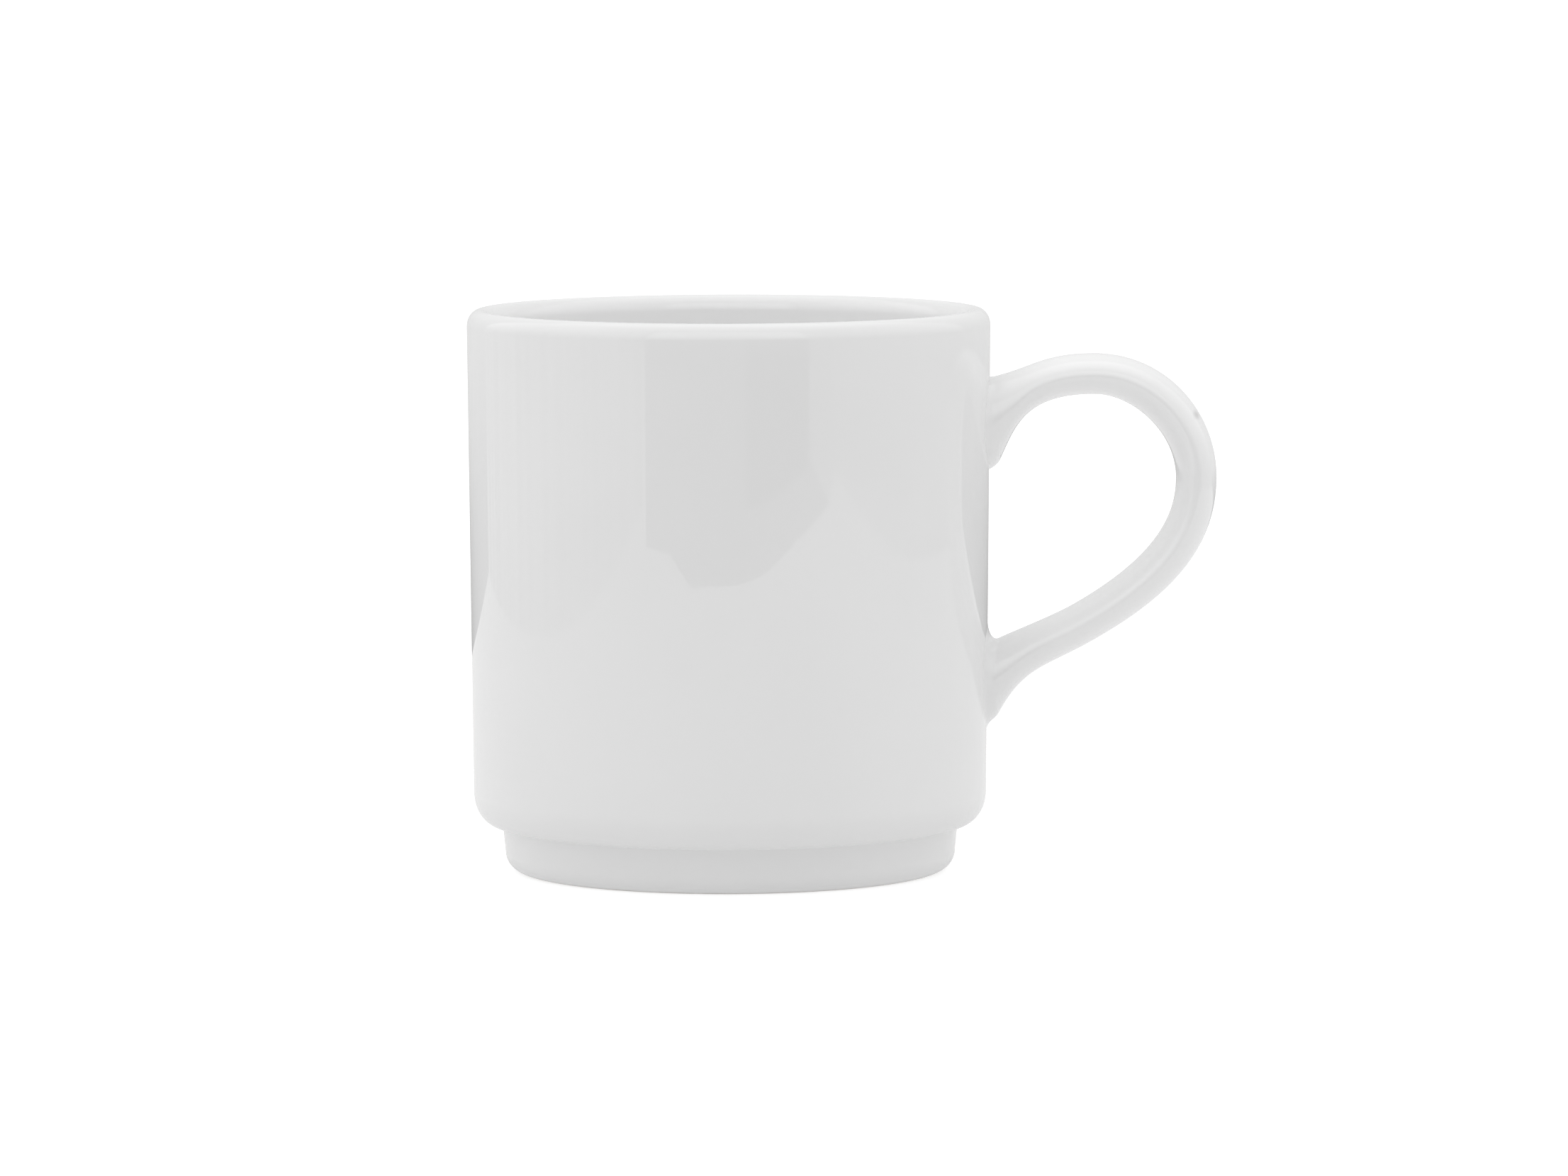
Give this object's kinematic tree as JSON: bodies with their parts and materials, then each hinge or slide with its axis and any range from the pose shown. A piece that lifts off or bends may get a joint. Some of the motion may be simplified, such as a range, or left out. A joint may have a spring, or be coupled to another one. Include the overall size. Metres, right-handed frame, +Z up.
{
  "type": "mug",
  "caption": "Stackable glazed ceramic mug with straight sides, a stepped foot, a recessed underside and a rounded loop handle set low on one side.",
  "frame": {"origin": "centre of the bounding box on the plane the foot ring stands on; the turned body's axis is 17.3 mm towards -X", "axes": "+Z up out of the mouth, +X from the body towards the handle, +Y along the width of the handle's strap"},
  "size_m": [0.1146, 0.08, 0.0861],
  "materials": {
    "body_glaze": "gloss",
    "handle_glaze": "gloss",
    "joint_glaze": "gloss"
  },
  "bodies": {
    "root": {"cup_body": "body_glaze", "handle": "handle_glaze", "upper_handle_joint": "joint_glaze", "lower_handle_joint": "joint_glaze"}
  },
  "joints": []
}
